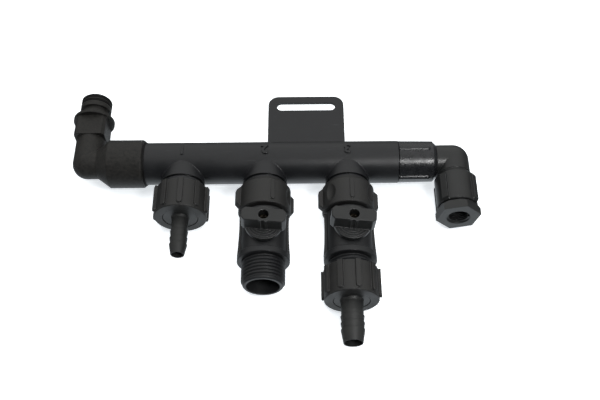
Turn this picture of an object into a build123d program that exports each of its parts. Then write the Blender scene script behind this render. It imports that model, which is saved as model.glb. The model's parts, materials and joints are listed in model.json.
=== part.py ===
from build123d import *
import math
import os

# Moulded fluid distribution manifold: a header tube with a slotted bracket plate, an inlet elbow
# at one end, a gauge elbow at the other, and three threaded outlets along its front. The first
# outlet holds a hose tail, the second a ball valve with a bare thread, the third a ball valve with
# a hose tail. All sizes are millimetres.
# While a piece is made, the header runs along x at y = z = 0, the outlets point along -y and the
# valve knobs along +z. "Out" is the distance from the header's axis along -y.

# Fits
TURN_GAP = 0.3            # between a thread or collar and the nut that turns round it
END_GAP = 0.1             # end play of a swivel nut on its tail
RUN_GAP = 0.05            # running fit of a stem in its neck, and of a ball in its seats
SEAT_GAP = 0.05           # glued or pressed pieces, all round

# Header tube
TUBE_R = 13.7
TUBE_WALL = 3.1
TUBE_LEFT = -120.5
TUBE_RIGHT = 59.0

# Outlet stubs on the header, with their conical fairings
OUTLET_FIRST = -79.5
OUTLET_PITCH = 52.8
HOSE_THREAD_R = 13.4      # over the crests; the hose sizes of every nut, tail and valve follow it
THREAD_CHAMFER = 0.8
FAIRING_PROUD = 0.8
FAIRING_NARROWING = 2.8
FAIRING_OUT = 17.0
FAIRING_FILLET_R = 0.8      # where a fairing meets the tube
UNDERCUT_DEPTH = 0.8
UNDERCUT_W = 0.8
STUB_END = 31.5
STUB_WALL = 4.4

# Bracket plate, moulded with the header on its mid plane
PLATE_W = 51.0
PLATE_FAR = 54.0
PLATE_T = 2.0
PLATE_CORNER_R = 7.0
PLATE_EDGE_R = 0.5
SLOT_Y = 45.3
SLOT_L = 39.4
SLOT_W = 6.4

# Inlet elbow: a socket over the header, a leg towards the plate side and a plug-in spigot
SOCKET_WALL = 1.95
SOCKET_MOUTH = -104.9
SOCKET_CONE = -127.5
SOCKET_RIM_R = 1.2
CONE_END = -135.5
CORNER_X = -142.6
LEG_R = 9.7
LEG_BORE_R = 7.0
SQUARE_W = 20.0
SQUARE_START = 18.0
SQUARE_CHAMFER = 2.0
FLANGE_R = 13.5
FLANGE_START = 33.0
FLANGE_T = 2.0
SPIGOT_R = 10.2
SPIGOT_BORE_R = 6.6
CLIP_GROOVE_START = 38.5
CLIP_GROOVE_W = 3.5
CLIP_GROOVE_R = 8.5
RING_GROOVE_FIRST = 45.4
RING_GROOVE_PITCH = 2.6
RING_GROOVE_W = 1.9
RING_SECTION_R = 0.9
SPIGOT_TIP = 51.6
SPIGOT_CHAMFER = 1.0

# End bushing, a little slimmer than the header and ribbed for grip
BUSHING_LINE = 0.4
BUSHING_STEP = 0.2
BUSHING_TAPER = 0.3
BUSHING_END = 83.3
BUSHING_CHAMFER = 2.0
BUSHING_PLUG = 45.0
BUSHING_WALL = 4.1
BUSHING_RIBS = 4
BUSHING_RIB_PHASE = 6.0
BUSHING_RIB_W = 3.4
BUSHING_RIB_PROUD = 1.0
BUSHING_RIB_END = 79.3

# Gauge elbow, with a swivel nut that holds a hexagonal adapter
GAUGE_X = 94.7
GAUGE_PIPE_R = 10.65
GAUGE_PIPE_START = 83.7
GAUGE_PLUG_LIP = 1.6
GAUGE_PLUG_START = 72.0
GAUGE_BORE_R = 5.0
GAUGE_LEG_OUT = 11.0
GAUGE_THREAD_R = 10.2
GAUGE_THREAD_END = 26.0
GAUGE_WASHER_T = 1.8
ADAPTER_FLANGE_T = 3.6
ADAPTER_LIP = 1.0
GAUGE_NUT_BACK = 12.4
GAUGE_NUT_FACE = 35.3
GAUGE_NUT_WALL = 2.3
GAUGE_NUT_SLOPE = 1.8
GAUGE_NUT_TAPER = 2.4
GAUGE_RIBS = 4
GAUGE_RIB_PHASE = 50.0
GAUGE_RIB_W = 4.2
GAUGE_RIB_PROUD = 1.55
HEX_SIDES = 6
HEX_AF = 24.5
HEX_START = 36.4
HEX_FACE = 42.4
HEX_ROLL = 15.0
HEX_CORNER_CUT = 1.4
PORT_R = 6.9
PORT_DEPTH = 11.0
PORT_CHAMFER = 0.6
ADAPTER_BORE_R = 3.0

# Hose tail, its washer and its ribbed swivel nut, measured from the end of the thread they go on
WASHER_T = 2.0
WASHER_SIDE_GAP = 0.7
TAIL_FLANGE_T = 4.0
TAIL_LIP = 1.8
TAIL_SUNK = 0.25
TAIL_BASE_PROUD = 0.5
TAIL_BASE_L = 1.6
NUT_WALL = 2.8
NUT_HOLD = 9.75
NUT_LENGTH = 19.6
NUT_CHAMFER = 0.5
NUT_RIBS = 10
NUT_RIB_W = 3.4
NUT_RIB_PROUD = 1.5
NUT_RIB_SHORT = 1.5
RIB_EDGE_R = 0.35
BARB_COUNT = 3

# The two hose sizes: root, barb, valley, tip and bore radius, then tip, last cone and barb spacing
SMALL_ROOT_R = 5.25
SMALL_BARB_R = 5.6
SMALL_VALLEY_R = 4.95
SMALL_TIP_R = 4.25
SMALL_BORE_R = 3.7
SMALL_REACH = 35.6
SMALL_CONE = 6.7
SMALL_PITCH = 4.6
SMALL_NUT_ROLL = 4.5
LARGE_ROOT_R = 6.7
LARGE_BARB_R = 7.15
LARGE_VALLEY_R = 6.4
LARGE_TIP_R = 5.8
LARGE_BORE_R = 5.4
LARGE_REACH = 36.2
LARGE_CONE = 7.9
LARGE_PITCH = 4.2
LARGE_NUT_ROLL = 12.0

# Ball valve: swivel nut on the stub, glued inlet tail, body with a threaded outlet
VALVE_2_ROLL = 2.0
VALVE_3_ROLL = 4.0
GRIP_NUT_2_ROLL = 200.0
GRIP_NUT_3_ROLL = 6.5
GRIP_WALL = 2.8
GRIP_NUT_BACK = 19.5
GRIP_NUT_SLOPE = 2.0
GRIP_NUT_TAPER = 3.0
GRIP_NUT_FACE = 39.2
GRIP_FLANGE_T = 2.6
NECK_LIP = 2.0
LUG_PROUD = 2.4
LUG_W = 4.6
LUG_START = 23.0
LUG_END = 37.0
LUG_CHAMFER = 2.2
LUG_EDGE_R = 0.5
GRIP_RIB_W = 2.8
GRIP_RIB_PROUD = 0.35
GRIP_RIB_TILT = 2.6
GRIP_RIB_START = 22.5
GRIP_RIB_END = 37.2
SCALLOP_ANGLE = 49.0
SCALLOP_R = 7.5
SCALLOP_HALF_L = 12.4
SCALLOP_DEPTH = 1.3
SCALLOP_OUT = 30.2
BODY_START = 40.6
BARREL_WALL = 3.4
FIN_T = 3.0
FIN_START_PROUD = 1.4
FIN_WAIST_PROUD = 1.25
FIN_WAIST_OUT = 51.0
COLLAR_PROUD = 2.8
COLLAR_START = 69.3
COLLAR_END = 73.3
COLLAR_CHAMFER = 0.4
VALVE_END = 89.2
PILOT_L = 1.3
PILOT_CUT = 1.0
VALVE_WALL = 3.2
THROAT_END = 68.0

# Inside the valve: ball, seats and stem
STEM_OUT = 55.3
BALL_ROOM = 0.9
BALL_WALL = 3.3
SEAT_LIP = 0.3
SEAT_ROOM = 0.3
BLADE_W = 3.0
BLADE_L = 8.0
BLADE_DEPTH = 2.4
STEM_R = 4.0
STEM_FLANGE_R = 5.4
STEM_FLANGE_LIFT = 0.15
STEM_FLANGE_T = 2.05
STEM_RING_RISE = 1.9
STEM_RING_SECTION_R = 0.75
BOSS_R = 8.5
BOSS_PROUD = 1.6
STEM_SQUARE = 5.4
STEM_SQUARE_L = 5.3

# Knob: a round skirt with a grip bar across it, held by a sunk screw
KNOB_SKEW = 4.5
KNOB_R = 11.5
SKIRT_H = 2.4
SKIRT_EDGE_R = 0.4
KNOB_H = 12.0
BAR_L = 26.8
BAR_W = 8.8
BAR_LIFT = 0.8
BAR_CORNER = 2.0
BAR_EDGE_R = 0.6
COLUMN_R = 5.2
NOTCH_W = 2.4              # pointer notch down the front of the column
NOTCH_DEPTH = 0.9
SCREW_WELL_R = 3.15
SCREW_WELL_DEPTH = 5.8
SCREW_HEAD_R = 2.75
SCREW_HEAD_T = 1.8
SCREW_SHANK_R = 1.5
SCREW_LENGTH = 6.0

# The part's frame: origin at the centre of the bracket slot, on the plate's back face
FRAME = Pos(0, -SLOT_Y, PLATE_T / 2)

# Worked out: header, stubs, elbows and bushing
OUTLETS = [OUTLET_FIRST + number * OUTLET_PITCH for number in range(3)]
TUBE_BORE_R = TUBE_R - TUBE_WALL
FAIRING_R = HOSE_THREAD_R + FAIRING_PROUD
UNDERCUT_R = HOSE_THREAD_R - UNDERCUT_DEPTH
STUB_BORE_R = HOSE_THREAD_R - STUB_WALL
SOCKET_R = TUBE_R + SOCKET_WALL
BUSHING_START = TUBE_RIGHT + BUSHING_LINE
BUSHING_START_R = TUBE_R - BUSHING_STEP
BUSHING_END_R = BUSHING_START_R - BUSHING_TAPER
BUSHING_BORE_R = TUBE_BORE_R - BUSHING_WALL
BUSHING_RIB_R = (BUSHING_RIB_W ** 2 / 4 + BUSHING_RIB_PROUD ** 2) / (2 * BUSHING_RIB_PROUD)
GAUGE_PLUG_R = TUBE_BORE_R - GAUGE_PLUG_LIP
GAUGE_FLANGE_R = GAUGE_THREAD_R - TURN_GAP
ADAPTER_NECK_R = GAUGE_FLANGE_R - ADAPTER_LIP
GAUGE_NUT_R = GAUGE_THREAD_R + TURN_GAP + GAUGE_NUT_WALL
GAUGE_RIB_R = GAUGE_NUT_R + GAUGE_RIB_PROUD

# Worked out: what screws on a hose thread
THREAD_BORE_R = HOSE_THREAD_R + TURN_GAP
WASHER_R = HOSE_THREAD_R - WASHER_SIDE_GAP
TAIL_SHOULDER_R = WASHER_R - TAIL_LIP
NUT_R = THREAD_BORE_R + NUT_WALL
GRIP_NUT_R = THREAD_BORE_R + GRIP_WALL

# Worked out: valve, from its neck to the top of its knob
INLET_NECK_R = WASHER_R - NECK_LIP
BARREL_R = INLET_NECK_R + BARREL_WALL
COLLAR_R = HOSE_THREAD_R + COLLAR_PROUD
VALVE_BORE_R = HOSE_THREAD_R - VALVE_WALL
BALL_R = INLET_NECK_R - BALL_ROOM
BALL_BORE_R = BALL_R - BALL_WALL
SEAT_BORE_R = BALL_BORE_R + SEAT_LIP
SEAT_FAR = BALL_R + SEAT_ROOM
BLADE_BOTTOM = BALL_R - BLADE_DEPTH
STEM_FLANGE_BOTTOM = BALL_R + STEM_FLANGE_LIFT
STEM_FLANGE_TOP = STEM_FLANGE_BOTTOM + STEM_FLANGE_T
STEM_RING_Z = STEM_FLANGE_TOP + STEM_RING_RISE
BOSS_TOP = BARREL_R + BOSS_PROUD
STEM_TOP = BOSS_TOP + STEM_SQUARE_L
KNOB_BOTTOM = BOSS_TOP + TURN_GAP
KNOB_TOP = KNOB_BOTTOM + KNOB_H
SCREW_WELL_FLOOR = KNOB_TOP - SCREW_WELL_DEPTH


def turned(points):
    """Round solid about the outlet axis, from (radius, out) points."""
    outline = Polyline(*[(radius, -out) for radius, out in points], close=True)
    return revolve(make_face(outline), Axis.Y)


def rod(radius, start, end):
    return turned([(0, start), (radius, start), (radius, end), (0, end)])


def ring(inner, outer, start, end):
    return turned([(inner, start), (outer, start), (outer, end), (inner, end)])


def upright(radius, bottom, top):
    """Cylinder along z, for what stands on the stem's axis."""
    return Pos(0, 0, (bottom + top) / 2) * Cylinder(radius, top - bottom)


def along_header(shape):
    """Turns the outward direction to +x."""
    return Rot(0, 0, 90) * shape


def to_plate_side(shape):
    """Turns the outward direction to +y."""
    return Rot(0, 0, 180) * shape


def rolled(shape, angle):
    """Turns a piece about its outlet axis, top towards +x."""
    return Rot(0, angle, 0) * shape


def flat_rib(width, start, end, inner_r, outer_r):
    """Flat-topped rib along the outlet axis, with a round front end and a soft top edge."""
    round_at = end - width / 2
    outline = Pos(0, -(start + round_at) / 2) * Rectangle(width, round_at - start)
    outline += Pos(0, -round_at) * Circle(width / 2)
    rib = extrude(outline, outer_r - inner_r)
    return Pos(0, 0, inner_r) * fillet(rib.edges().group_by(Axis.Z)[-1], RIB_EDGE_R)


def seal_ring(ring_r, section_r, out):
    """O-ring round the outlet axis."""
    return Pos(0, -out, 0) * Rot(90, 0, 0) * Torus(ring_r, section_r)


def bracket_plate():
    outline = Pos(0, PLATE_FAR / 2) * Rectangle(PLATE_W, PLATE_FAR)
    outline = fillet(outline.vertices().group_by(Axis.Y)[-1], PLATE_CORNER_R)
    plate = extrude(outline, PLATE_T / 2, both=True)
    plate = fillet(plate.faces().filter_by(Axis.Z).edges(), PLATE_EDGE_R)
    return plate - extrude(Pos(0, SLOT_Y) * SlotOverall(SLOT_L, SLOT_W), PLATE_T, both=True)


def outlet_stub():
    undercut_end = FAIRING_OUT + UNDERCUT_W
    return turned([
        (0, 0), (FAIRING_R - FAIRING_NARROWING, 0), (FAIRING_R, FAIRING_OUT),
        (UNDERCUT_R, FAIRING_OUT), (UNDERCUT_R, undercut_end), (HOSE_THREAD_R, undercut_end),
        (HOSE_THREAD_R, STUB_END - THREAD_CHAMFER), (HOSE_THREAD_R - THREAD_CHAMFER, STUB_END),
        (0, STUB_END),
    ])


def manifold_body():
    body = along_header(rod(TUBE_R, TUBE_LEFT, TUBE_RIGHT))
    for x in OUTLETS:
        body += Pos(x, 0, 0) * outlet_stub()
    meeting = [edge for edge in body.edges() if edge.geom_type not in (GeomType.LINE, GeomType.CIRCLE)]
    body = fillet(meeting, FAIRING_FILLET_R) + bracket_plate()
    body -= along_header(rod(TUBE_BORE_R, TUBE_LEFT, TUBE_RIGHT))
    for x in OUTLETS:
        body -= Pos(x, 0, 0) * rod(STUB_BORE_R, 0, STUB_END)
    return body


def ring_groove_starts():
    return [RING_GROOVE_FIRST + number * RING_GROOVE_PITCH for number in range(2)]


def ring_centre_r():
    return SPIGOT_R - RING_SECTION_R


def inlet_spigot():
    """Flange and plug-in end of the inlet elbow, out along its leg."""
    flange_end = FLANGE_START + FLANGE_T
    spigot = rod(FLANGE_R, FLANGE_START, flange_end)
    spigot += turned([
        (0, flange_end), (SPIGOT_R, flange_end), (SPIGOT_R, SPIGOT_TIP - SPIGOT_CHAMFER),
        (SPIGOT_R - SPIGOT_CHAMFER, SPIGOT_TIP), (0, SPIGOT_TIP),
    ])
    spigot -= ring(CLIP_GROOVE_R, FLANGE_R, CLIP_GROOVE_START, CLIP_GROOVE_START + CLIP_GROOVE_W)
    groove_r = ring_centre_r() - RING_SECTION_R - SEAT_GAP
    for start in ring_groove_starts():
        spigot -= ring(groove_r, FLANGE_R, start, start + RING_GROOVE_W)
    return spigot


def inlet_elbow():
    socket = along_header(turned([
        (0, CORNER_X), (LEG_R, CORNER_X), (LEG_R, CONE_END), (SOCKET_R, SOCKET_CONE),
        (SOCKET_R, SOCKET_MOUTH), (0, SOCKET_MOUTH),
    ]))
    socket = fillet(socket.edges().group_by(Axis.X)[-1], SOCKET_RIM_R)
    square = chamfer(Rectangle(SQUARE_W, SQUARE_W).vertices(), SQUARE_CHAMFER)
    square = Plane.XZ.offset(SQUARE_START) * square
    leg = rod(LEG_R, 0, FLANGE_START) + extrude(square, FLANGE_START - SQUARE_START)
    leg += Sphere(LEG_R) + inlet_spigot()
    elbow = socket + Pos(CORNER_X, 0, 0) * to_plate_side(leg)
    elbow -= along_header(rod(TUBE_R + SEAT_GAP, TUBE_LEFT, SOCKET_MOUTH))
    elbow -= along_header(rod(LEG_BORE_R, CORNER_X, SOCKET_MOUTH))
    leg_bore = Sphere(LEG_BORE_R) + rod(LEG_BORE_R, 0, FLANGE_START) + rod(SPIGOT_BORE_R, 0, SPIGOT_TIP)
    return elbow - Pos(CORNER_X, 0, 0) * to_plate_side(leg_bore)


def inlet_rings():
    rings = []
    for start in ring_groove_starts():
        seal = seal_ring(ring_centre_r(), RING_SECTION_R, start + RING_GROOVE_W / 2)
        rings.append(Pos(CORNER_X, 0, 0) * to_plate_side(seal))
    return rings


def end_bushing():
    plug_r = TUBE_BORE_R - SEAT_GAP
    bushing = turned([
        (0, BUSHING_PLUG), (plug_r, BUSHING_PLUG), (plug_r, BUSHING_START), (BUSHING_START_R, BUSHING_START),
        (BUSHING_END_R, BUSHING_END - BUSHING_CHAMFER), (BUSHING_END_R - BUSHING_CHAMFER, BUSHING_END),
        (0, BUSHING_END),
    ])
    rib_centre_r = BUSHING_START_R + BUSHING_RIB_PROUD - BUSHING_RIB_R
    round_at = BUSHING_RIB_END - BUSHING_RIB_W / 2
    rib = rod(BUSHING_RIB_R, BUSHING_START, round_at) + Pos(0, -round_at, 0) * Sphere(BUSHING_RIB_R)
    for number in range(BUSHING_RIBS):
        angle = BUSHING_RIB_PHASE + number * 360 / BUSHING_RIBS
        bushing += rolled(Pos(0, 0, rib_centre_r) * rib, angle)
    bushing -= rod(BUSHING_BORE_R, BUSHING_PLUG, BUSHING_END)
    bushing -= rod(GAUGE_PLUG_R + SEAT_GAP, GAUGE_PLUG_START, BUSHING_END)
    return along_header(bushing)


def gauge_elbow():
    corner = Sphere(GAUGE_PIPE_R) + rod(GAUGE_PIPE_R, 0, GAUGE_LEG_OUT)
    corner += turned([
        (0, 0), (GAUGE_THREAD_R, 0), (GAUGE_THREAD_R, GAUGE_THREAD_END - THREAD_CHAMFER),
        (GAUGE_THREAD_R - THREAD_CHAMFER, GAUGE_THREAD_END), (0, GAUGE_THREAD_END),
    ])
    elbow = along_header(rod(GAUGE_PIPE_R, GAUGE_PIPE_START, GAUGE_X))
    elbow += along_header(rod(GAUGE_PLUG_R, GAUGE_PLUG_START, GAUGE_X)) + Pos(GAUGE_X, 0, 0) * corner
    elbow -= along_header(rod(GAUGE_BORE_R, GAUGE_PLUG_START, GAUGE_X))
    bore = Sphere(GAUGE_BORE_R) + rod(GAUGE_BORE_R, 0, GAUGE_THREAD_END)
    return elbow - Pos(GAUGE_X, 0, 0) * bore


def gauge_flange_end():
    return GAUGE_THREAD_END + GAUGE_WASHER_T + ADAPTER_FLANGE_T


def gauge_washer():
    washer_end = GAUGE_THREAD_END + GAUGE_WASHER_T
    return Pos(GAUGE_X, 0, 0) * ring(GAUGE_BORE_R, GAUGE_FLANGE_R, GAUGE_THREAD_END, washer_end)


def gauge_adapter():
    flange_start = GAUGE_THREAD_END + GAUGE_WASHER_T
    blank = Plane.XZ.offset(HEX_START) * RegularPolygon(HEX_AF / 2, HEX_SIDES, False, rotation=HEX_ROLL)
    corner_r = HEX_AF / 2 / math.cos(math.pi / HEX_SIDES)
    trim = turned([
        (0, HEX_START), (corner_r - HEX_CORNER_CUT, HEX_START), (corner_r, HEX_START + HEX_CORNER_CUT),
        (corner_r, HEX_FACE), (0, HEX_FACE),
    ])
    adapter = extrude(blank, HEX_FACE - HEX_START) & trim
    adapter += rod(GAUGE_FLANGE_R, flange_start, gauge_flange_end())
    adapter += rod(ADAPTER_NECK_R, flange_start, HEX_START)
    adapter -= rod(ADAPTER_BORE_R, flange_start, HEX_FACE)
    adapter -= turned([
        (0, HEX_FACE - PORT_DEPTH), (PORT_R, HEX_FACE - PORT_DEPTH), (PORT_R, HEX_FACE - PORT_CHAMFER),
        (PORT_R + PORT_CHAMFER, HEX_FACE), (0, HEX_FACE),
    ])
    return Pos(GAUGE_X, 0, 0) * adapter


def gauge_nut():
    taper_end = GAUGE_NUT_BACK + GAUGE_NUT_TAPER
    nut = turned([
        (0, GAUGE_NUT_BACK), (GAUGE_NUT_R - GAUGE_NUT_SLOPE, GAUGE_NUT_BACK), (GAUGE_NUT_R, taper_end),
        (GAUGE_NUT_R, GAUGE_NUT_FACE - NUT_CHAMFER), (GAUGE_NUT_R - NUT_CHAMFER, GAUGE_NUT_FACE),
        (0, GAUGE_NUT_FACE),
    ])
    rib_middle = (taper_end + GAUGE_NUT_FACE) / 2
    rib = Pos(0, -rib_middle, GAUGE_RIB_R / 2) * Box(GAUGE_RIB_W, GAUGE_NUT_FACE - taper_end, GAUGE_RIB_R)
    rib = chamfer(rib.edges().group_by(Axis.Z)[-1].filter_by(Axis.X), GAUGE_RIB_PROUD)
    for number in range(GAUGE_RIBS):
        nut += rolled(rib, GAUGE_RIB_PHASE + number * 360 / GAUGE_RIBS)
    nut -= rod(GAUGE_THREAD_R + TURN_GAP, GAUGE_NUT_BACK, gauge_flange_end() + END_GAP)
    nut -= rod(ADAPTER_NECK_R + TURN_GAP, GAUGE_NUT_BACK, GAUGE_NUT_FACE)
    return Pos(GAUGE_X, 0, 0) * nut


def tail_washer(thread_end, bore_r):
    return ring(bore_r, WASHER_R, thread_end, thread_end + WASHER_T)


def tail_flange_end(thread_end):
    return thread_end + WASHER_T + TAIL_FLANGE_T


def hose_tail(thread_end, root_r, barb_r, valley_r, tip_r, bore_r, reach, cone, pitch):
    """Flanged tail with a barbed end; each barb is a cone that narrows towards the tip."""
    flange_start = thread_end + WASHER_T
    flange_end = tail_flange_end(thread_end)
    shoulder_end = thread_end - NUT_HOLD + NUT_LENGTH - TAIL_SUNK
    tip = thread_end + reach
    last_barb = tip - cone
    profile = [
        (bore_r, flange_start), (WASHER_R, flange_start), (WASHER_R, flange_end),
        (TAIL_SHOULDER_R, flange_end), (TAIL_SHOULDER_R, shoulder_end),
        (root_r + TAIL_BASE_PROUD, shoulder_end), (root_r, shoulder_end + TAIL_BASE_L),
        (root_r, last_barb - (BARB_COUNT - 0.5) * pitch),
        (valley_r, last_barb - (BARB_COUNT - 1) * pitch),
    ]
    for number in range(BARB_COUNT - 1, 0, -1):
        profile += [(barb_r, last_barb - number * pitch), (valley_r, last_barb - (number - 1) * pitch)]
    profile += [(barb_r, last_barb), (tip_r, tip), (bore_r, tip)]
    return turned(profile)


def ribbed_nut(thread_end, roll):
    back = thread_end - NUT_HOLD
    face = back + NUT_LENGTH
    nut = turned([
        (0, back), (NUT_R, back), (NUT_R, face - NUT_CHAMFER), (NUT_R - NUT_CHAMFER, face), (0, face),
    ])
    rib = flat_rib(NUT_RIB_W, back, face - NUT_RIB_SHORT, THREAD_BORE_R, NUT_R + NUT_RIB_PROUD)
    for number in range(NUT_RIBS):
        nut += rolled(rib, roll + number * 360 / NUT_RIBS)
    nut -= rod(THREAD_BORE_R, back, tail_flange_end(thread_end) + END_GAP)
    return nut - rod(TAIL_SHOULDER_R + TURN_GAP, back, face)


def small_hose_tail(thread_end):
    return hose_tail(thread_end, SMALL_ROOT_R, SMALL_BARB_R, SMALL_VALLEY_R, SMALL_TIP_R, SMALL_BORE_R,
                     SMALL_REACH, SMALL_CONE, SMALL_PITCH)


def large_hose_tail(thread_end):
    return hose_tail(thread_end, LARGE_ROOT_R, LARGE_BARB_R, LARGE_VALLEY_R, LARGE_TIP_R, LARGE_BORE_R,
                     LARGE_REACH, LARGE_CONE, LARGE_PITCH)


def grip_flange_end():
    return STUB_END + WASHER_T + GRIP_FLANGE_T


def grip_lug():
    """Thumb lug on the side of a valve's swivel nut, with sloped ends."""
    lug_r = GRIP_NUT_R + LUG_PROUD
    slope_r = lug_r - LUG_CHAMFER
    outline = Polyline((0, -LUG_START), (slope_r, -LUG_START), (lug_r, -LUG_START - LUG_CHAMFER),
                       (lug_r, -LUG_END + LUG_CHAMFER), (slope_r, -LUG_END), (0, -LUG_END), close=True)
    lug = extrude(make_face(outline), LUG_W / 2, both=True)
    return fillet(lug.faces().filter_by(Axis.Z).edges(), LUG_EDGE_R)


def grip_rib():
    """Slim rib that rises towards the nut's face."""
    rib = flat_rib(GRIP_RIB_W, GRIP_RIB_START, GRIP_RIB_END, THREAD_BORE_R, GRIP_NUT_R + GRIP_RIB_PROUD)
    root = Pos(0, -GRIP_RIB_START, GRIP_NUT_R)
    return root * Rot(-GRIP_RIB_TILT, 0, 0) * root.inverse() * rib


def scallop_cutter():
    """Lemon-shaped cutter, longer along the nut than across it."""
    side = ThreePointArc((0, -SCALLOP_HALF_L), (SCALLOP_R, 0), (0, SCALLOP_HALF_L))
    outline = make_face([side, Line(side @ 1, side @ 0)])
    return revolve(outline, Axis.Y)


def grip_nut():
    """Swivel nut of a valve: two lugs, two slim ribs and three thumb scallops."""
    taper_end = GRIP_NUT_BACK + GRIP_NUT_TAPER
    nut = turned([
        (0, GRIP_NUT_BACK), (GRIP_NUT_R - GRIP_NUT_SLOPE, GRIP_NUT_BACK), (GRIP_NUT_R, taper_end),
        (GRIP_NUT_R, GRIP_NUT_FACE - NUT_CHAMFER), (GRIP_NUT_R - NUT_CHAMFER, GRIP_NUT_FACE),
        (0, GRIP_NUT_FACE),
    ])
    scallop_centre = GRIP_NUT_R + SCALLOP_R - SCALLOP_DEPTH
    for angle in (-SCALLOP_ANGLE, SCALLOP_ANGLE, 180 + SCALLOP_ANGLE):
        nut -= rolled(Pos(0, -SCALLOP_OUT, scallop_centre) * scallop_cutter(), angle)
    for angle in (0, 180):
        nut += rolled(grip_rib(), angle) + rolled(grip_lug(), angle)
    nut -= rod(THREAD_BORE_R, GRIP_NUT_BACK, grip_flange_end() + END_GAP)
    return nut - rod(INLET_NECK_R + TURN_GAP, GRIP_NUT_BACK, GRIP_NUT_FACE)


def valve_inlet_tail():
    """Flanged piece that the swivel nut pulls on the stub, glued into the valve body."""
    flange_start = STUB_END + WASHER_T
    inner_end = STEM_OUT - SEAT_FAR
    return turned([
        (SEAT_BORE_R, flange_start), (WASHER_R, flange_start), (WASHER_R, grip_flange_end()),
        (INLET_NECK_R, grip_flange_end()), (INLET_NECK_R, inner_end), (SEAT_BORE_R, inner_end),
    ])


def valve_body():
    pilot_r = HOSE_THREAD_R - PILOT_CUT
    body = turned([
        (0, BODY_START), (BARREL_R, BODY_START), (BARREL_R, COLLAR_START),
        (COLLAR_R - COLLAR_CHAMFER, COLLAR_START), (COLLAR_R, COLLAR_START + COLLAR_CHAMFER),
        (COLLAR_R, COLLAR_END - COLLAR_CHAMFER), (COLLAR_R - COLLAR_CHAMFER, COLLAR_END),
        (HOSE_THREAD_R, COLLAR_END), (HOSE_THREAD_R, VALVE_END - PILOT_L - PILOT_CUT),
        (pilot_r, VALVE_END - PILOT_L), (pilot_r, VALVE_END - THREAD_CHAMFER),
        (pilot_r - THREAD_CHAMFER, VALVE_END), (0, VALVE_END),
    ])
    for side in (-1, 1):
        waist = ThreePointArc((side * (BARREL_R + FIN_START_PROUD), -BODY_START),
                              (side * (BARREL_R + FIN_WAIST_PROUD), -FIN_WAIST_OUT),
                              (side * COLLAR_R, -COLLAR_START))
        base = Polyline(waist @ 1, (0, -COLLAR_START), (0, -BODY_START), waist @ 0)
        body += extrude(make_face([*waist.edges(), *base.edges()]), FIN_T / 2, both=True)
    on_stem = Pos(0, -STEM_OUT, 0)
    body += on_stem * upright(BOSS_R, 0, BOSS_TOP)
    cavity_r = INLET_NECK_R + SEAT_GAP
    body -= rod(cavity_r, BODY_START, STEM_OUT + SEAT_FAR)
    body -= rod(SEAT_BORE_R, STEM_OUT, VALVE_END) + rod(VALVE_BORE_R, THROAT_END, VALVE_END)
    body -= on_stem * upright(STEM_FLANGE_R + RUN_GAP, 0, STEM_FLANGE_TOP + RUN_GAP)
    return body - on_stem * upright(STEM_R + RUN_GAP, 0, BOSS_TOP)


def valve_seat(side):
    """Ring seat with a ball-shaped face; side is -1 at the inlet and 1 at the outlet."""
    clear_of_stem = STEM_FLANGE_R + TURN_GAP
    near, far = sorted((STEM_OUT + side * clear_of_stem, STEM_OUT + side * SEAT_FAR))
    return ring(SEAT_BORE_R, INLET_NECK_R, near, far) - Pos(0, -STEM_OUT, 0) * Sphere(BALL_R + RUN_GAP)


def valve_ball():
    """Ball with its bore across the flow and a slot for the stem's blade."""
    ball = Sphere(BALL_R) - Rot(0, 90, 0) * Cylinder(BALL_BORE_R, 2 * BALL_R)
    slot_h = BALL_R - BLADE_BOTTOM + SEAT_GAP
    slot = Box(BLADE_L + 2 * SEAT_GAP, BLADE_W + 2 * SEAT_GAP, slot_h)
    return ball - Pos(0, 0, BALL_R - slot_h / 2) * slot


def valve_stem():
    groove_r = STEM_R - 2 * STEM_RING_SECTION_R + RUN_GAP
    stem = upright(STEM_FLANGE_R, STEM_FLANGE_BOTTOM, STEM_FLANGE_TOP)
    stem += upright(STEM_R, STEM_FLANGE_BOTTOM, BOSS_TOP)
    groove_bottom, groove_top = STEM_RING_Z - STEM_RING_SECTION_R, STEM_RING_Z + STEM_RING_SECTION_R
    stem -= upright(STEM_FLANGE_R, groove_bottom, groove_top) - upright(groove_r, groove_bottom, groove_top)
    stem += Pos(0, 0, (BOSS_TOP + STEM_TOP) / 2) * Box(STEM_SQUARE, STEM_SQUARE, STEM_TOP - BOSS_TOP)
    blade_h = STEM_FLANGE_BOTTOM - BLADE_BOTTOM
    stem += Pos(0, 0, BLADE_BOTTOM + blade_h / 2) * Box(BLADE_L, BLADE_W, blade_h)
    return stem - upright(SCREW_SHANK_R, SCREW_WELL_FLOOR - SCREW_LENGTH, STEM_TOP)


def stem_ring():
    ring_r = STEM_R - STEM_RING_SECTION_R + RUN_GAP / 2
    return Pos(0, 0, STEM_RING_Z) * Torus(ring_r, STEM_RING_SECTION_R - RUN_GAP)


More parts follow.
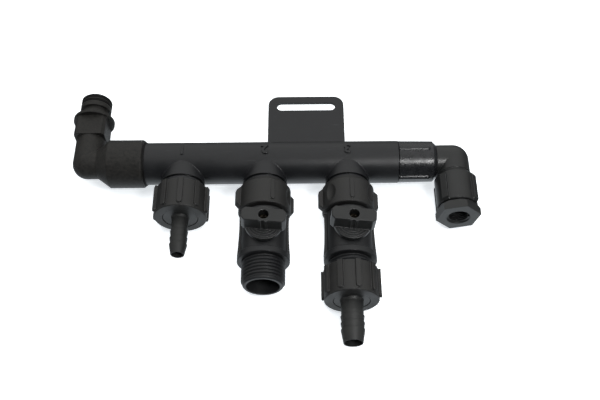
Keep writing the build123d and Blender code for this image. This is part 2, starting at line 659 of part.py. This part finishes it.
def knob():
    plan = chamfer(Rectangle(BAR_L, BAR_W).vertices(), BAR_CORNER)
    bar = Pos(0, 0, KNOB_BOTTOM + BAR_LIFT) * extrude(plan, KNOB_H - BAR_LIFT)
    bar = fillet(bar.edges().group_by(Axis.Z)[-1], BAR_EDGE_R)
    skirt = upright(KNOB_R, KNOB_BOTTOM, KNOB_BOTTOM + SKIRT_H)
    skirt = fillet(skirt.edges().group_by(Axis.Z)[-1], SKIRT_EDGE_R)
    column = upright(COLUMN_R, KNOB_BOTTOM, KNOB_TOP)
    notch_h = KNOB_H - SKIRT_H
    notch = Box(NOTCH_W, 2 * NOTCH_DEPTH, notch_h)
    column -= Pos(0, -COLUMN_R, KNOB_TOP - notch_h / 2) * notch
    grip = skirt + bar + column
    grip -= upright(SCREW_WELL_R, SCREW_WELL_FLOOR, KNOB_TOP)
    grip -= upright(SCREW_SHANK_R + SEAT_GAP, KNOB_BOTTOM, KNOB_TOP)
    socket_w = STEM_SQUARE + 2 * SEAT_GAP
    socket_top = STEM_TOP + SEAT_GAP
    socket = Box(socket_w, socket_w, socket_top - KNOB_BOTTOM)
    return grip - Pos(0, 0, (KNOB_BOTTOM + socket_top) / 2) * socket


def knob_screw():
    head_top = SCREW_WELL_FLOOR + SCREW_HEAD_T
    screw = upright(SCREW_HEAD_R, SCREW_WELL_FLOOR, head_top)
    screw = fillet(screw.edges().group_by(Axis.Z)[-1], SCREW_HEAD_T / 3)
    return screw + upright(SCREW_SHANK_R, SCREW_WELL_FLOOR - SCREW_LENGTH, SCREW_WELL_FLOOR)


def valve_pieces(name, valve_roll, nut_roll):
    """All pieces of one valve, at its outlet's axis."""
    turning = {"ball": valve_ball(), "stem": valve_stem(), "stem_ring": stem_ring(),
               "knob": knob(), "knob_screw": knob_screw()}
    pieces = {f"{name}_{key}": Pos(0, -STEM_OUT, 0) * Rot(0, 0, -KNOB_SKEW) * shape
              for key, shape in turning.items()}
    pieces[f"{name}_body"] = valve_body()
    pieces[f"{name}_seat_inlet"] = valve_seat(-1)
    pieces[f"{name}_seat_outlet"] = valve_seat(1)
    pieces = {key: rolled(shape, valve_roll) for key, shape in pieces.items()}
    pieces[f"{name}_inlet_tail"] = valve_inlet_tail()
    pieces[f"{name}_washer"] = tail_washer(STUB_END, STUB_BORE_R)
    pieces[f"{name}_nut"] = rolled(grip_nut(), nut_roll)
    return pieces


def all_pieces():
    pieces = {"manifold_body": manifold_body(), "inlet_elbow": inlet_elbow()}
    for number, seal in enumerate(inlet_rings(), 1):
        pieces[f"inlet_ring_{number}"] = seal
    pieces["end_bushing"] = end_bushing()
    pieces["gauge_elbow"] = gauge_elbow()
    pieces["gauge_washer"] = gauge_washer()
    pieces["gauge_adapter"] = gauge_adapter()
    pieces["gauge_nut"] = gauge_nut()
    first = Pos(OUTLETS[0], 0, 0)
    pieces["outlet_1_washer"] = first * tail_washer(STUB_END, SMALL_BORE_R)
    pieces["outlet_1_tail"] = first * small_hose_tail(STUB_END)
    pieces["outlet_1_nut"] = first * ribbed_nut(STUB_END, SMALL_NUT_ROLL)
    second = valve_pieces("valve_2", VALVE_2_ROLL, GRIP_NUT_2_ROLL)
    third_valve = valve_pieces("valve_3", VALVE_3_ROLL, GRIP_NUT_3_ROLL)
    for x, valve in zip(OUTLETS[1:], (second, third_valve)):
        pieces.update({name: Pos(x, 0, 0) * shape for name, shape in valve.items()})
    third = Pos(OUTLETS[2], 0, 0)
    pieces["outlet_3_washer"] = third * tail_washer(VALVE_END, LARGE_BORE_R)
    pieces["outlet_3_tail"] = third * large_hose_tail(VALVE_END)
    pieces["outlet_3_nut"] = third * ribbed_nut(VALVE_END, LARGE_NUT_ROLL)
    return pieces


os.makedirs("parts", exist_ok=True)
for name, shape in all_pieces().items():
    export_step(FRAME * shape, f"parts/{name}.step")
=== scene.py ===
import json
import math

import bmesh
import bpy
from mathutils import Matrix, Vector


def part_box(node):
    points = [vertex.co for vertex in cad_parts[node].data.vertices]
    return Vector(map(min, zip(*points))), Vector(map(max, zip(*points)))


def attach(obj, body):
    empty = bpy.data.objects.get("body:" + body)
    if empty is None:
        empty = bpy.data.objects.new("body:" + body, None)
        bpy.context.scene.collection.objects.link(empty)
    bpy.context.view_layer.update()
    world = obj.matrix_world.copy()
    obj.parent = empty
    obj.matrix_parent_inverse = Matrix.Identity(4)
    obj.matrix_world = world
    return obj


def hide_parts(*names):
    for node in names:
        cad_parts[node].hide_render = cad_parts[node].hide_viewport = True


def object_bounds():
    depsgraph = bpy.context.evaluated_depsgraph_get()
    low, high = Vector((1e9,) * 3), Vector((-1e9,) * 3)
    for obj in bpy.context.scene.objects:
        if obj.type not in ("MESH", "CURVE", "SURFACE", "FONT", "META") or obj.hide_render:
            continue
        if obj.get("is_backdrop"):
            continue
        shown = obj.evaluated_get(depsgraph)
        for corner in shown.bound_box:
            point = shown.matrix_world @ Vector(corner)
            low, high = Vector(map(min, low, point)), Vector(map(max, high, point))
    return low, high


# Looks of a moulded fluid distribution manifold: black plastic on a white sweep, seen from above and
# in front. Sizes are millimetres here and go through mm() to metres; "out" is the way the outlets point.

# Camera, fitted to the outlines in the photograph
CAMERA_AT = (-0.4, -357.8, 461.7)
CAMERA_TARGET = (-4.32, -73.85, 1.0)
CAMERA_ROLL = -1.16
CAMERA_LENS = 51.2

# Studio: a white sweep in a light tent that is open towards the front, with a panel on each side and a
# small lamp by the camera. The tent's stops are how far a direction leans to the bright side, and a shade.
SWEEP_SIZE = 8000.0
SWEEP_HEX = "f2f4f5"
SWEEP_ROUGHNESS = 0.8
SWEEP_GLOW_HEX = "f3f8fc"
SWEEP_GLOW = 0.7
TENT_TOWARDS = (0.0, 0.6, 0.8)
TENT_STOPS = ((-1.0, "8a8f92"), (-0.75, "3a3c3e"), (-0.3, "3a3b3d"), (0.0, "4c4d4e"), (0.36, "606162"),
              (0.8, "e6e6e4"), (1.0, "fafafa"))
BOUNCE_HEX = "e6eef4"
BOUNCE_FROM = -0.42
BOUNCE_FULL = -0.9
BOUNCE = 1.15
SOFTBOX_AT = (0.0, -60.0, 1500.0)
SOFTBOX_SIZE = 1200.0
SOFTBOX_WATTS = 15.0
PANEL_AT = (750.0, -150.0, 140.0)
PANEL_SIZE = 550.0
PANEL_WATTS = 0.3
LAMP_AT = (190.0, -330.0, 460.0)
LAMP_SIZE = 120.0
LAMP_WATTS = 1.2

# Surfaces: the span of the clouds that tint and gloss follow, the scratches, and the edges, with how far a tool's
# edges are rounded over and how far a normal leans where an edge is lightened grey, partly as wear and partly as a
# painted highlight
CLOUD_SPAN = (0.3, 0.7)
SCUFF_SIZE = (9.0, 0.8, 0.8)
SCUFF_SPAN = (0.68, 0.78)
SCUFF_HEX = "3c3d3f"
EDGE_R = 0.5
EDGE_SAMPLES = 8
# Edge lightening: partly wear, partly a painted highlight on edges
WORN_LIT_EDGE_SPAN = (0.99, 0.8)
WORN_LIT_EDGE_HEX = "4c4d4e"
PP_IOR = 1.49
NYLON_IOR = 1.53

# Copies of solids that are cut: points closer than the gap are joined, edges over the angle stay crisp,
# and the elbow's mitre stays crisp nearly to its end
WELD_GAP = 0.001
CRISP_ANGLE = 28.0
MITRE_ANGLE = 12.0

# Threads: crest radius, pitch and depth, with how flat the crests and roots are as a share of the pitch
HOSE_THREAD = (13.4, 2.209, 1.15)
GAUGE_THREAD = (10.2, 1.5, 0.8)
CREST_FLAT = 0.22
ROOT_FLAT = 0.24
OVERCUT = 0.4
FADE_TURNS = 0.35
TURN_STEPS = 60
STUB_THREAD_L = 11.6
STUB_OVERRUN = 1.0
VALVE_PILOT = 1.1
VALVE_THREAD_L = 14.0
COLLAR_FROM_END = 15.9
RELIEF_W = 0.9
GAUGE_THREAD_L = 13.0

# Fine ridge of the gauge port's thread
PORT_R = 6.9
PORT_PITCH = 1.337
PORT_RIDGE = 0.9
PORT_RIDGE_W = 0.75
PORT_CREST_W = 0.2
PORT_FIRST = 0.9
PORT_TURNS = 5.5
PORT_SUNK = 0.15

# Header, and a ring of black rubber at the inlet elbow's mouth, put in as painted shade for the gap where the
# header enters it
HEADER_R = 13.7
GAP_SHADE_W = 1.1
GAP_SHADE_PROUD = 0.5
GAP_SHADE_SUNK = 0.1
GAP_SHADE_FLARE = 0.3

# Raised outlet numbers on top of the header, read from the bracket's side
NUMBER_H = 6.5
NUMBER_CAP = 0.69
NUMBER_BOLD = 0.35
NUMBER_ANGLE = -8.0
NUMBER_PROUD = 0.8
NUMBER_SUNK = 0.25

# Knobs, from the stem's axis: arcs on the skirt, each a radius and half its angle, spread about the way
# out, and a cross recess in the sunk screw
KNOB_SKEW = -4.5
SKIRT_TOP = 18.4
FAN_ARCS = ((6.9, 49.909), (8.5, 54.085), (10.1, 58.261))
FAN_MIDDLE = -90.0
FAN_W = 0.7
FAN_PROUD = 0.4
FAN_SUNK = 0.1
SCREW_TOP = 24.0
CROSS_L = 3.4
CROSS_W = 0.8
CROSS_DEPTH = 1.1


def mm(value):
    return value * 0.001


def in_mm(metres):
    return metres * 1000


def mm_vector(values):
    return Vector(mm(value) for value in values)


def linear(hex_colour):
    """Linear RGBA of an sRGB hex colour."""
    channels = [int(hex_colour[k:k + 2], 16) / 255 for k in (0, 2, 4)]
    return tuple(c / 12.92 if c <= 0.04045 else ((c + 0.055) / 1.055) ** 2.4 for c in channels) + (1.0,)


def add(tree, kind, inputs=None, **settings):
    """Adds a shader node: settings are its properties; inputs are values, or sockets to link from."""
    made = tree.nodes.new(f"ShaderNode{kind}")
    for key, value in settings.items():
        setattr(made, key, value)
    for key, value in (inputs or {}).items():
        if isinstance(value, bpy.types.NodeSocket):
            tree.links.new(value, made.inputs[key])
        else:
            made.inputs[key].default_value = value
    return made


def new_material(name):
    material = bpy.data.materials.new(name)
    material.use_nodes = True
    material.node_tree.nodes.clear()
    return material


def surface(name, dark, light, roughness, grain, depth, flow=12.0, edge=EDGE_R, scuffs=0.0, edge_wear_and_highlight=0.0,
            **principled):
    """Moulded or turned surface: clouds of the melt's flow tint it and change its gloss, and the tool's
    face leaves a fine grain. Grain, depth, flow and the rounding of edges are millimetres; scuffs is how
    strongly scratches show, and the next argument how strongly edges are lightened grey, partly as wear and
    partly as a painted highlight. A tool's real grain, about 0.1 mm, is too fine to show, so it is drawn as coarse
    as it needs to be."""
    material = new_material(name)
    tree = material.node_tree
    place = add(tree, "TexCoord").outputs["Object"]
    clouds = add(tree, "TexNoise", {"Vector": place, "Scale": 1 / mm(flow), "Detail": 4.0, "Roughness": 0.6})
    tint = add(tree, "ValToRGB", {"Fac": clouds.outputs["Fac"]})
    for stop, position, shade in zip(tint.color_ramp.elements, CLOUD_SPAN, (dark, light)):
        stop.position = position
        stop.color = linear(shade)
    colour = tint.outputs["Color"]
    rough = add(tree, "MapRange", {
        "Value": clouds.outputs["Fac"], "From Min": CLOUD_SPAN[0], "From Max": CLOUD_SPAN[1],
        "To Min": roughness[0], "To Max": roughness[1]})
    if scuffs:
        stretched = add(tree, "Mapping", {"Vector": place, "Scale": [1 / mm(size) for size in SCUFF_SIZE]})
        streaks = add(tree, "TexNoise", {"Vector": stretched.outputs["Vector"], "Scale": 1.0, "Detail": 2.0})
        scratch = add(tree, "MapRange", {
            "Value": streaks.outputs["Fac"], "From Min": SCUFF_SPAN[0], "From Max": SCUFF_SPAN[1],
            "To Min": 0.0, "To Max": scuffs})
        scuffed = add(tree, "Mix", {"Factor": scratch.outputs["Result"], "A": colour, "B": linear(SCUFF_HEX)},
                      data_type="RGBA")
        colour = scuffed.outputs["Result"]
    rounded = add(tree, "Bevel", {"Radius": mm(edge)}, samples=EDGE_SAMPLES)
    # Edges are lightened grey: partly wear, partly a painted highlight where rounded edges would catch the light
    if edge_wear_and_highlight:
        flat = add(tree, "NewGeometry").outputs["Normal"]
        facing = add(tree, "VectorMath", {0: rounded.outputs["Normal"], 1: flat}, operation="DOT_PRODUCT")
        edge_wear_and_highlight_mask = add(tree, "MapRange", {
            "Value": facing.outputs["Value"], "From Min": WORN_LIT_EDGE_SPAN[0], "From Max": WORN_LIT_EDGE_SPAN[1],
            "To Min": 0.0, "To Max": edge_wear_and_highlight})
        edge_wear_and_highlight_tint = add(tree, "Mix", {"Factor": edge_wear_and_highlight_mask.outputs["Result"], "A": colour, "B": linear(WORN_LIT_EDGE_HEX)},
                   data_type="RGBA")
        colour = edge_wear_and_highlight_tint.outputs["Result"]
    fine = add(tree, "TexNoise", {"Vector": place, "Scale": 1 / mm(grain), "Detail": 2.0, "Roughness": 0.7})
    bump = add(tree, "Bump", {"Height": fine.outputs["Fac"], "Distance": mm(depth), "Strength": 1.0,
                              "Normal": rounded.outputs["Normal"]})
    shader = add(tree, "BsdfPrincipled", {"Base Color": colour, "Roughness": rough.outputs["Result"],
                                          "Normal": bump.outputs["Normal"], **principled})
    add(tree, "OutputMaterial", {"Surface": shader.outputs["BSDF"]})
    return material


def new_piece(name, data):
    piece = bpy.data.objects.new(name, data)
    bpy.context.scene.collection.objects.link(piece)
    return piece


def piece_from(bm, name):
    mesh = bpy.data.meshes.new(name)
    bm.to_mesh(mesh)
    bm.free()
    return new_piece(name, mesh)


def applied(piece):
    """The piece's mesh with its modifiers applied."""
    evaluated = piece.evaluated_get(bpy.context.evaluated_depsgraph_get())
    return bpy.data.meshes.new_from_object(evaluated)


def joint_named(name):
    return next(joint for joint in frame["joints"] if joint["name"] == name)


def outward_from(joint):
    """Frame at a nut's joint: z points out along the outlet, y up."""
    return Matrix.Translation(joint_named(joint)["pos_m"]) @ Matrix.Rotation(math.radians(90), 4, "X")


def header_axis(x):
    """Point on the header's axis."""
    bushing_low, bushing_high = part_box("end_bushing")
    return Vector((x, (bushing_low.y + bushing_high.y) / 2, joint_named("outlet_1_nut_turn")["pos_m"][2]))


def knob_frame(number):
    """Frame on a valve's stem: z along the stem, -y towards the outlet when the valve is shut."""
    joint = joint_named(f"valve_{number}_knob_turn")
    roll = math.atan2(joint["axis"][0], joint["axis"][2])
    lean = Matrix.Rotation(roll, 4, "Y") @ Matrix.Rotation(math.radians(KNOB_SKEW), 4, "Z")
    return Matrix.Translation(joint["pos_m"]) @ lean


def sweep(name, place, section, turns, pitch=0.0, start=0.0, height=0.0, fade_out=0.0):
    """Closed solid that carries a section of (radius, along) points round z, climbing by the pitch each
    turn; one turn without pitch is a ring. Over the last fade_out turns the section moves outwards, so
    that a groove runs out."""
    bm = bmesh.new()
    rings = []
    steps = max(2, round(abs(turns) * TURN_STEPS))
    depth = max(radius for radius, along in section) - min(radius for radius, along in section)
    for step in range(steps + 1):
        turn = turns * step / steps
        lift = depth * max(0.0, 1 - (abs(turns) - abs(turn)) / fade_out) if fade_out else 0.0
        angle = math.radians(start) + 2 * math.pi * turn
        climb = height + pitch * turn
        ring = []
        for radius, along in section:
            reach = radius + lift
            spot = mm_vector((reach * math.cos(angle), reach * math.sin(angle), climb + along))
            ring.append(bm.verts.new(place @ spot))
        rings.append(ring)
    if turns == 1 and not pitch:
        bmesh.ops.delete(bm, geom=rings.pop(), context="VERTS")
        rings.append(rings[0])
    for low_ring, high_ring in zip(rings, rings[1:]):
        for side in range(len(section)):
            bm.faces.new((low_ring[side], low_ring[side - 1], high_ring[side - 1], high_ring[side]))
    if rings[0] is not rings[-1]:
        bm.faces.new(rings[0])
        bm.faces.new(reversed(rings[-1]))
    bmesh.ops.recalc_face_normals(bm, faces=bm.faces)
    return piece_from(bm, name)


def thread_groove(place, size, end, length):
    """Cutter for a right-hand thread that starts at `end` and runs back towards the header."""
    crest_r, pitch, depth = size
    half_root = pitch * ROOT_FLAT / 2
    half_crest = pitch * (1 - CREST_FLAT) / 2
    half_outer = half_crest + (half_crest - half_root) / depth * OVERCUT
    root_r, outer_r = crest_r - depth, crest_r + OVERCUT
    section = [(root_r, -half_root), (root_r, half_root), (outer_r, half_outer), (outer_r, -half_outer)]
    return sweep("thread_groove", place, section, -length / pitch, pitch, height=end, fade_out=FADE_TURNS)


def relief_groove(place, size, start, width):
    """Cutter for the plain groove that a thread runs out into."""
    crest_r, pitch, depth = size
    root_r, outer_r = crest_r - depth, crest_r + OVERCUT
    section = [(root_r, 0), (root_r, width), (outer_r, width), (outer_r, 0)]
    return sweep("relief_groove", place, section, 1, height=start)


def block(place, size, centre):
    """Box cutter."""
    bm = bmesh.new()
    shape = place @ Matrix.Translation(mm_vector(centre)) @ Matrix.Diagonal([*mm_vector(size), 1])
    bmesh.ops.create_cube(bm, size=1.0, matrix=shape)
    return piece_from(bm, "block")


def cut(node, cutters, crisp=CRISP_ANGLE):
    """Copy of a node's solid with the cutters taken out; it stands for the node. Edges over the crisp
    angle are marked, and new normals take the place of the solid's own, which don't fit the cut mesh."""
    piece = new_piece(f"{node}_cut", frame["nodes"][node].data.copy())
    bm = bmesh.new()
    bm.from_mesh(piece.data)
    bmesh.ops.remove_doubles(bm, verts=bm.verts, dist=mm(WELD_GAP))
    bm.to_mesh(piece.data)
    bm.free()
    for cutter in cutters:
        take = piece.modifiers.new("cut", "BOOLEAN")
        take.operation = "DIFFERENCE"
        take.solver = "EXACT"
        take.object = cutter
    mesh = applied(piece)
    piece.modifiers.clear()
    piece.data = mesh
    mesh.shade_smooth()
    mesh.attributes.remove(mesh.attributes["custom_normal"])
    bm = bmesh.new()
    bm.from_mesh(mesh)
    for edge in bm.edges:
        edge.smooth = edge.is_manifold and edge.calc_face_angle() < math.radians(crisp)
    bm.to_mesh(mesh)
    bm.free()
    even = piece.modifiers.new("even shading", "WEIGHTED_NORMAL")
    even.keep_sharp = True
    for cutter in cutters:
        bpy.data.objects.remove(cutter)
    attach(piece, body_of[node])
    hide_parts(node)
    return piece


def dress(piece, slot):
    piece.data.materials.clear()
    piece.data.materials.append(finishes[slot])


def raised_number(text, outlet):
    """Outlet number wrapped on the header's top."""
    curve = bpy.data.curves.new("number", "FONT")
    curve.body = text
    curve.size = mm(NUMBER_H / NUMBER_CAP)
    curve.offset = mm(NUMBER_BOLD)
    curve.extrude = mm((NUMBER_PROUD + NUMBER_SUNK) / 2)
    curve.align_x = "CENTER"
    curve.align_y = "CENTER"
    flat = new_piece("number", curve)
    piece = new_piece(f"outlet_number_{text}", applied(flat))
    bpy.data.objects.remove(flat)
    above = header_axis(joint_named(outlet)["pos_m"][0])
    for vertex in piece.data.vertices:
        right, up, rise = vertex.co
        radius = mm(HEADER_R + (NUMBER_PROUD - NUMBER_SUNK) / 2) + rise
        angle = math.radians(NUMBER_ANGLE) + up / mm(HEADER_R)
        vertex.co = above + Vector((-right, -radius * math.sin(angle), radius * math.cos(angle)))
    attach(piece, "manifold")
    dress(piece, "header_pp")


def inlet_lip():
    """Ring of black seal rubber at the inlet elbow's mouth, put in as painted shade for the dark gap between the
    socket and the header.
    """
    mouth = header_axis(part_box("inlet_elbow")[1].x)
    place = Matrix.Translation(mouth) @ Matrix.Rotation(math.radians(90), 4, "Y")
    section = [(HEADER_R - GAP_SHADE_SUNK, -GAP_SHADE_SUNK), (HEADER_R + GAP_SHADE_PROUD + GAP_SHADE_FLARE, -GAP_SHADE_SUNK),
               (HEADER_R + GAP_SHADE_PROUD, GAP_SHADE_W), (HEADER_R - GAP_SHADE_SUNK, GAP_SHADE_W)]
    piece = sweep("inlet_gap_shade_ring", place, section, 1)
    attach(piece, "manifold")
    dress(piece, "seal_rubber")


def port_thread():
    """Ridge of the gauge port's thread."""
    place = outward_from("gauge_nut_turn")
    face = place.inverted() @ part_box("gauge_adapter")[0]
    base_r, crest_r = PORT_R + PORT_SUNK, PORT_R - PORT_RIDGE
    half_base, half_crest = PORT_RIDGE_W / 2, PORT_CREST_W / 2
    section = [(base_r, -half_base), (base_r, half_base), (crest_r, half_crest), (crest_r, -half_crest)]
    piece = sweep("gauge_port_thread", place, section, -PORT_TURNS, PORT_PITCH,
                  height=in_mm(face.z) - PORT_FIRST)
    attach(piece, "gauge_adapter")
    dress(piece, "gauge_pp")


def knob_fan(number):
    """Raised arcs on the knob's skirt, before the grip bar."""
    place = knob_frame(number)
    for radius, half_angle in FAN_ARCS:
        inner, outer = radius - FAN_W / 2, radius + FAN_W / 2
        section = [(inner, -FAN_SUNK), (outer, -FAN_SUNK), (outer, FAN_PROUD), (inner, FAN_PROUD)]
        piece = sweep(f"valve_{number}_knob_arc_{radius:.0f}", place, section, 2 * half_angle / 360,
                      start=FAN_MIDDLE - half_angle, height=SKIRT_TOP)
        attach(piece, f"valve_{number}_knob")
        dress(piece, "knob_pp")


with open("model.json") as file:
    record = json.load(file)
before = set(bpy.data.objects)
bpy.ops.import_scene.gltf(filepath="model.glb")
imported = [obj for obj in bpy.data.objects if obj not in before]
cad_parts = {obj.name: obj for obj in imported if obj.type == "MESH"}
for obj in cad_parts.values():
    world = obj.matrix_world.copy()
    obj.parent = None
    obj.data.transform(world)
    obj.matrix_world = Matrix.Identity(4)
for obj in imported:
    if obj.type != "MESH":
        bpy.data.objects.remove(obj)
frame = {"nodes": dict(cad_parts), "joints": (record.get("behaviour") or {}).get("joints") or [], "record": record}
low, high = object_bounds()
body_of = {node: body for body, nodes in frame["record"]["behaviour"]["bodies"].items() for node in nodes}
slot_of = {part["node"]: part["material_slot"] for part in frame["record"]["subparts"]}

finishes = {
    # Satin tool face: a broad soft sheen along the tube, with a few handling scuffs.
    "header_pp": surface(
        "black polypropylene, satin moulded", "121315", "18191b", roughness=(0.38, 0.48), grain=0.5,
        depth=0.010, scuffs=0.35, IOR=PP_IOR),
    # Spark-eroded tool face: even and matt, with edges lightened grey, partly worn by hands and partly a painted
    # highlight.
    "nut_pp": surface(
        "black polypropylene, matt moulded", "1a1a1a", "20201f", roughness=(0.46, 0.58), grain=0.35,
        depth=0.012, edge=0.45, edge_wear_and_highlight=0.5, IOR=PP_IOR),
    # Smoother tool face on the gauge fittings: a short highlight that stops at the elbow's mitre, and edges
    # lightened grey, partly as wear and partly as a painted highlight.
    "gauge_pp": surface(
        "black polypropylene, half matt moulded", "181919", "1e1f1f", roughness=(0.33, 0.43), grain=0.35,
        depth=0.012, edge=0.3, edge_wear_and_highlight=0.6, IOR=PP_IOR),
    # Matt tool face on the hose tails, whose barbs catch a soft light.
    "tail_pp": surface(
        "black polypropylene, moulded hose tail", "1a1b1b", "202120", roughness=(0.44, 0.54), grain=0.35,
        depth=0.012, IOR=PP_IOR),
    # Matt tool face on the valves, a little cooler and darker than the nuts.
    "valve_pp": surface(
        "black polypropylene, moulded valve", "17181a", "1d1e1f", roughness=(0.42, 0.54), grain=0.35,
        depth=0.012, IOR=PP_IOR),
    # Tool face worn smooth by fingers: pale lines along the rims of the grip bar and the skirt, partly wear and
    # partly a painted highlight.
    "knob_pp": surface(
        "black polypropylene, moulded knob", "181919", "1e1f1f", roughness=(0.36, 0.48), grain=0.35,
        depth=0.012, edge=0.9, edge_wear_and_highlight=0.6, IOR=PP_IOR),
    # Glass fibres near the skin give a coarse, slightly warm grain.
    "elbow_nylon": surface(
        "glass-filled nylon, moulded", "121211", "252422", roughness=(0.44, 0.62), grain=0.8, depth=0.2,
        flow=1.6, IOR=NYLON_IOR, **{"Specular IOR Level": 0.3}),
    # Polished tool face over glass fibres: half gloss with a sparkling highlight.
    "bushing_nylon": surface(
        "nylon, half gloss moulded", "151618", "1e1f21", roughness=(0.23, 0.34), grain=0.55, depth=0.045,
        flow=3.0, IOR=NYLON_IOR, **{"Specular IOR Level": 0.46}),
    # Polished after moulding, so that it seals: a small clear highlight.
    "ball_pp": surface(
        "polypropylene, polished ball", "1c1d1f", "222325", roughness=(0.12, 0.18), grain=0.5, depth=0.002,
        IOR=PP_IOR),
    # Pressed from powder and turned: waxy white with a faint sheen.
    "seat_ptfe": surface(
        "PTFE, pressed and turned", "e4e4de", "ecece8", roughness=(0.38, 0.46), grain=0.4, depth=0.006,
        IOR=1.38),
    # Soft seals take little shine.
    "seal_rubber": surface(
        "EPDM rubber, pressed", "0a0a0a", "0f0f0f", roughness=(0.60, 0.75), grain=0.25, depth=0.015,
        IOR=1.5, **{"Specular IOR Level": 0.2}),
    # Phosphated steel is nearly black, with brown glints.
    "screw_steel": surface(
        "steel, black phosphated", "2b2824", "3a342c", roughness=(0.35, 0.5), grain=0.3, depth=0.006,
        Metallic=1.0),
}

shown = dict(frame["nodes"])
stubs = {1: "outlet_1_nut_turn", 2: "valve_2_nut_turn", 3: "valve_3_nut_turn"}
shown["manifold_body"] = cut("manifold_body", [
    thread_groove(outward_from(joint), HOSE_THREAD, STUB_OVERRUN, STUB_THREAD_L) for joint in stubs.values()])
valve_reach = joint_named("valve_3_nut_turn")["pos_m"][1] - joint_named("outlet_3_nut_turn")["pos_m"][1]
outlet_end = in_mm(valve_reach)
for number in (2, 3):
    outlet = outward_from(stubs[number])
    shown[f"valve_{number}_body"] = cut(f"valve_{number}_body", [
        thread_groove(outlet, HOSE_THREAD, outlet_end - VALVE_PILOT, VALVE_THREAD_L),
        relief_groove(outlet, HOSE_THREAD, outlet_end - COLLAR_FROM_END, RELIEF_W)])
    stem = knob_frame(number)
    middle = (0, 0, SCREW_TOP)
    shown[f"valve_{number}_knob_screw"] = cut(f"valve_{number}_knob_screw", [
        block(stem, (CROSS_L, CROSS_W, 2 * CROSS_DEPTH), middle),
        block(stem, (CROSS_W, CROSS_L, 2 * CROSS_DEPTH), middle)])
    knob_fan(number)
gauge_groove = thread_groove(outward_from("gauge_nut_turn"), GAUGE_THREAD, STUB_OVERRUN, GAUGE_THREAD_L)
shown["gauge_elbow"] = cut("gauge_elbow", [gauge_groove], MITRE_ANGLE)
port_thread()
inlet_lip()
for number, joint in stubs.items():
    raised_number(str(number), joint)
for node, piece in shown.items():
    dress(piece, slot_of[node])

# White sweep under everything, a little self-lit so that it stays white; in reflections the tent's light
# from below stands for it
sweep_mesh = bpy.data.meshes.new("sweep")
half = mm(SWEEP_SIZE) / 2
corners = [(-half, -half, low.z), (half, -half, low.z), (half, half, low.z), (-half, half, low.z)]
sweep_mesh.from_pydata(corners, [], [(0, 1, 2, 3)])
floor = new_piece("sweep", sweep_mesh)
paper = new_material("white paper sweep")
paper_shader = add(paper.node_tree, "BsdfPrincipled", {
    "Base Color": linear(SWEEP_HEX), "Roughness": SWEEP_ROUGHNESS,
    "Emission Color": linear(SWEEP_GLOW_HEX), "Emission Strength": SWEEP_GLOW})
add(paper.node_tree, "OutputMaterial", {"Surface": paper_shader.outputs["BSDF"]})
floor.data.materials.append(paper)
floor.visible_glossy = False
floor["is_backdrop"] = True

# Light tent: bright above and behind, dim towards the front, with the sweep's own light from below; the
# camera itself sees white beyond the sweep
world = bpy.data.worlds.new("light tent")
world.use_nodes = True
tent = world.node_tree
tent.nodes.clear()
direction = add(tent, "TexCoord").outputs["Generated"]
towards = add(tent, "VectorMath", {0: direction, 1: TENT_TOWARDS}, operation="DOT_PRODUCT")
spread = add(tent, "MapRange", {"Value": towards.outputs["Value"], "From Min": -1.0, "From Max": 1.0})
fabric = add(tent, "ValToRGB", {"Fac": spread.outputs["Result"]})
stops = fabric.color_ramp.elements
while len(stops) < len(TENT_STOPS):
    stops.new(1.0)
for stop, (lean, shade) in zip(stops, TENT_STOPS):
    stop.position = (lean + 1) / 2
    stop.color = linear(shade)
glow = add(tent, "Background", {"Color": fabric.outputs["Color"], "Strength": 1.0})
height = add(tent, "SeparateXYZ", {"Vector": direction}).outputs["Z"]
below = add(tent, "MapRange", {"Value": height, "From Min": BOUNCE_FROM, "From Max": BOUNCE_FULL,
                               "To Min": 0.0, "To Max": BOUNCE})
bounce = add(tent, "Background", {"Color": linear(BOUNCE_HEX), "Strength": below.outputs["Result"]})
both = add(tent, "AddShader", {0: glow.outputs[0], 1: bounce.outputs[0]})
white = add(tent, "Background", {"Color": linear("ffffff"), "Strength": 1.0})
from_camera = add(tent, "LightPath").outputs["Is Camera Ray"]
seen = add(tent, "MixShader", {0: from_camera, 1: both.outputs[0], 2: white.outputs[0]})
add(tent, "OutputWorld", {"Surface": seen.outputs[0]})
bpy.context.scene.world = world

lamps = {"overhead softbox": (SOFTBOX_AT, SOFTBOX_SIZE, SOFTBOX_WATTS, False),
         "panel on the right": (PANEL_AT, PANEL_SIZE, PANEL_WATTS, True),
         "panel on the left": ((-PANEL_AT[0], *PANEL_AT[1:]), PANEL_SIZE, PANEL_WATTS, True),
         "lamp by the camera": (LAMP_AT, LAMP_SIZE, LAMP_WATTS, True)}
for name, (place, size, watts, mirrored) in lamps.items():
    light = bpy.data.lights.new(name, "AREA")
    light.shape = "DISK"
    light.size = mm(size)
    light.energy = watts
    lamp = new_piece(name, light)
    lamp.location = mm_vector(place)
    lamp.rotation_euler = (mm_vector(CAMERA_TARGET) - lamp.location).to_track_quat("-Z", "Y").to_euler()
    lamp.visible_glossy = mirrored

camera_data = bpy.data.cameras.new("camera")
camera_data.lens = CAMERA_LENS
camera = new_piece("camera", camera_data)
aim = (mm_vector(CAMERA_TARGET) - mm_vector(CAMERA_AT)).to_track_quat("-Z", "Y").to_matrix().to_4x4()
roll = Matrix.Rotation(math.radians(CAMERA_ROLL), 4, "Z")
camera.matrix_world = Matrix.Translation(mm_vector(CAMERA_AT)) @ aim @ roll
bpy.context.scene.camera = camera
bpy.context.scene.view_settings.view_transform = "Standard"

low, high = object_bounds()
